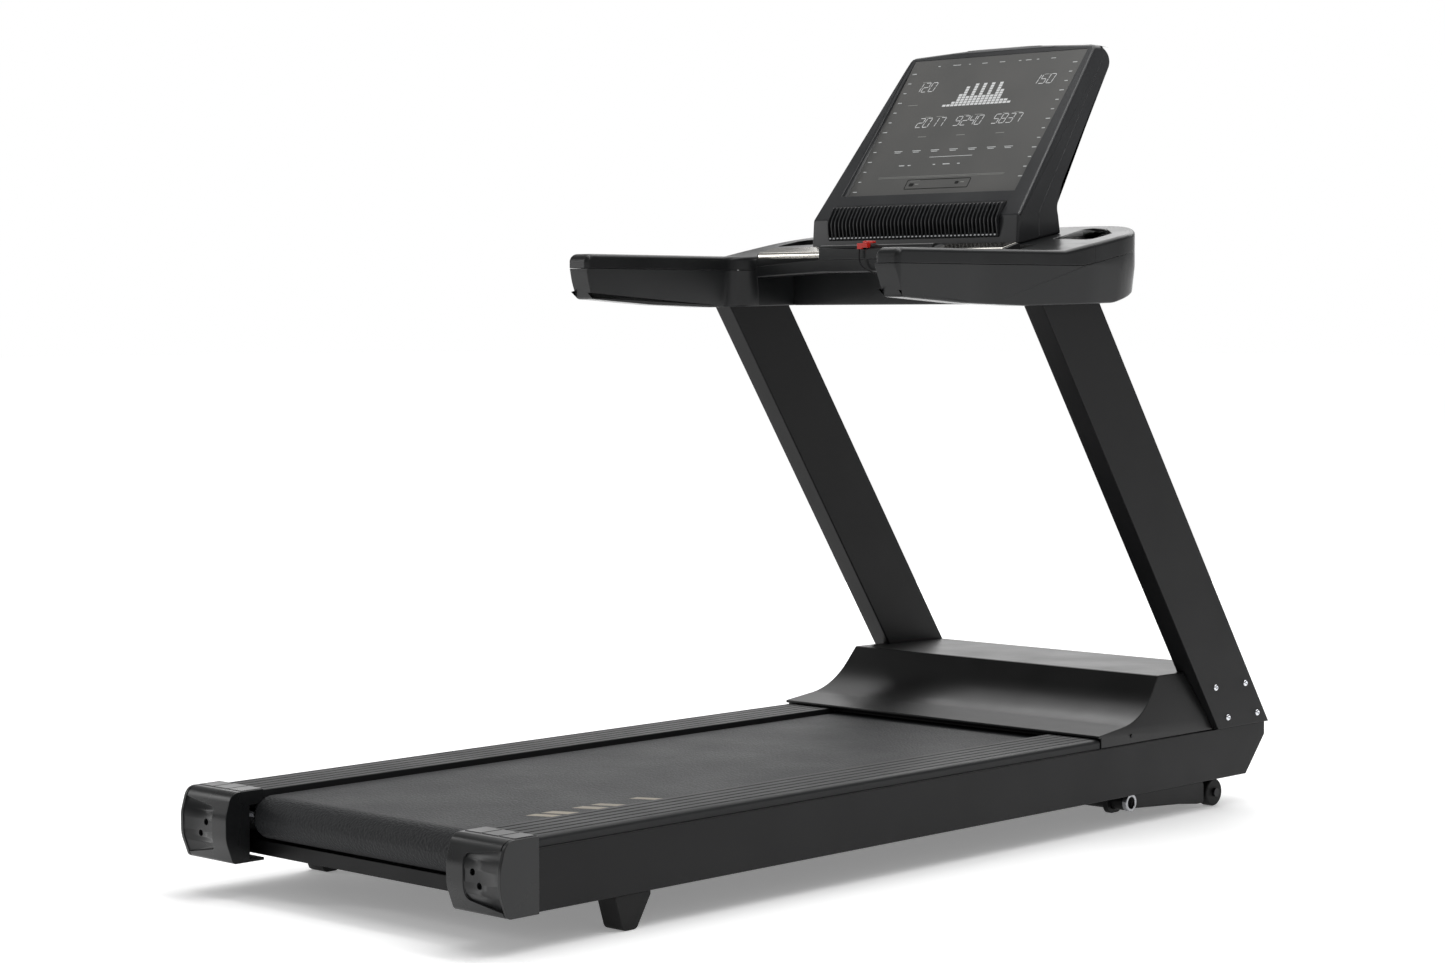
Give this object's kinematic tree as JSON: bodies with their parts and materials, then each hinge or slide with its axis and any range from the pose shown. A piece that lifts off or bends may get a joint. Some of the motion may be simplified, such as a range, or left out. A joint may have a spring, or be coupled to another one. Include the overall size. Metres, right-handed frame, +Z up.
{
  "type": "treadmill",
  "caption": "Commercial treadmill: running belt on a low steel frame, motor hood, two leaning uprights, side arms and a tilted display console.",
  "frame": {"origin": "on the floor under the middle of the machine", "axes": "+Y forward to the motor hood, +X to the runner's right, +Z up"},
  "size_m": [0.92, 2.146, 1.5626],
  "materials": {
    "powder_coated_steel": "satin black powder coat",
    "bright_steel": "ground steel",
    "stainless_grip": "polished stainless",
    "chrome_bolt": "bright chrome",
    "black_fastener": "blackened steel",
    "cast_aluminium": "as cast",
    "cast_iron_wheel": "turned cast iron",
    "rail_plastic": "ribbed, fine grain",
    "cap_plastic": "glossy charcoal",
    "hood_plastic": "satin black",
    "shell_plastic": "fine grained charcoal",
    "head_plastic": "satin charcoal",
    "glass_panel": "dark printed overlay",
    "belt_surface": "pebbled",
    "rubber": "matt",
    "deck_wood": "waxed board",
    "key_plastic": "red",
    "cord_fabric": "woven cord"
  },
  "bodies": {
    "base": {"axle_blocks": "bright_steel", "belly_pan": "powder_coated_steel", "body_screws": "black_fastener", "console_back_shell": "head_plastic", "console_cowl": "shell_plastic", "console_frame": "powder_coated_steel", "console_front_shell": "head_plastic", "console_pan": "shell_plastic", "crossmembers": "powder_coated_steel", "cup_holders": "shell_plastic", "deck_board": "deck_wood", "deck_cushions": "rubber", "display_glass": "glass_panel", "drive_belt": "rubber", "drive_motor": "cast_aluminium", "fan_grille": "head_plastic", "front_axle": "bright_steel", "front_cover": "powder_coated_steel", "handle_lower": "shell_plastic", "handle_upper": "shell_plastic", "left_arm_lower": "shell_plastic", "left_arm_upper": "shell_plastic", "left_end_cap": "cap_plastic", "left_foot_rail": "rail_plastic", "left_rear_foot": "rubber", "left_side_frame": "powder_coated_steel", "left_upright": "powder_coated_steel", "lift_motor": "cast_aluminium", "motor_bracket": "powder_coated_steel", "motor_controller": "cast_aluminium", "motor_hood": "hood_plastic", "pivot_hangers": "powder_coated_steel", "power_inlet": "head_plastic", "pulse_grips": "stainless_grip", "rear_axle": "bright_steel", "right_arm_lower": "shell_plastic", "right_arm_upper": "shell_plastic", "right_end_cap": "cap_plastic", "right_foot_rail": "rail_plastic", "right_rear_foot": "rubber", "right_side_frame": "powder_coated_steel", "right_upright": "powder_coated_steel", "riser_plates": "powder_coated_steel", "running_belt": "belt_surface", "upright_bolts": "chrome_bolt"},
    "front_roller_body": {"front_roller": "bright_steel", "roller_pulley": "cast_aluminium"},
    "rear_roller_body": {"rear_roller": "bright_steel"},
    "motor_rotor_body": {"motor_shaft": "bright_steel", "flywheel": "cast_iron_wheel"},
    "lift_frame_body": {"lift_frame": "powder_coated_steel", "wheel_bolts": "black_fastener"},
    "left_wheel_body": {"left_lift_wheel": "rubber"},
    "right_wheel_body": {"right_lift_wheel": "rubber"},
    "lift_nut_body": {"lift_nut_tube": "bright_steel"},
    "safety_key_body": {"safety_key": "key_plastic", "lanyard": "cord_fabric", "lanyard_clip": "key_plastic"},
    "switch_body": {"power_switch": "head_plastic"},
    "fan_body": {"fan_rotor": "head_plastic"}
  },
  "joints": [
    {"name": "front_roller_spin", "type": "hinge", "parent": "base", "child": "front_roller_body", "pos_m": [0, 0.543, 0.135], "axis": [1, 0, 0], "continuous": true},
    {"name": "rear_roller_spin", "type": "hinge", "parent": "base", "child": "rear_roller_body", "pos_m": [0, -0.979, 0.135], "axis": [1, 0, 0], "continuous": true},
    {"name": "motor_spin", "type": "hinge", "parent": "base", "child": "motor_rotor_body", "pos_m": [0, 0.789, 0.128], "axis": [1, 0, 0], "continuous": true},
    {"name": "lift_hinge", "type": "hinge", "parent": "base", "child": "lift_frame_body", "pos_m": [0, 0.6335, 0.042], "axis": [-1, 0, 0], "range_deg": [0, 60]},
    {"name": "lift_nut_slide", "type": "slide", "parent": "base", "child": "lift_nut_body", "axis": [0, 1, 0], "range_m": [0, 0.0705]},
    {"name": "left_wheel_spin", "type": "hinge", "parent": "lift_frame_body", "child": "left_wheel_body", "pos_m": [-0.3765, 0.931, 0.028], "axis": [1, 0, 0], "continuous": true},
    {"name": "right_wheel_spin", "type": "hinge", "parent": "lift_frame_body", "child": "right_wheel_body", "pos_m": [0.3765, 0.931, 0.028], "axis": [1, 0, 0], "continuous": true},
    {"name": "safety_key_pull", "type": "slide", "parent": "base", "child": "safety_key_body", "axis": [0, -1, 0], "range_m": [0, 0.02]},
    {"name": "power_switch_rock", "type": "hinge", "parent": "base", "child": "switch_body", "pos_m": [-0.24, 1.067, 0.1534], "axis": [1, 0, 0], "range_deg": [0, 12]},
    {"name": "fan_spin", "type": "hinge", "parent": "base", "child": "fan_body", "pos_m": [0, 0.476, 1.1895], "axis": [1, 0, 0], "continuous": true}
  ],
  "couplings": [
    {"joint": "rear_roller_spin", "follows": "front_roller_spin", "ratio": 1},
    {"joint": "motor_spin", "follows": "front_roller_spin", "ratio": 1.5},
    {"joint": "lift_nut_slide", "follows": "lift_hinge", "m_per_rad": 0.06685}
  ]
}
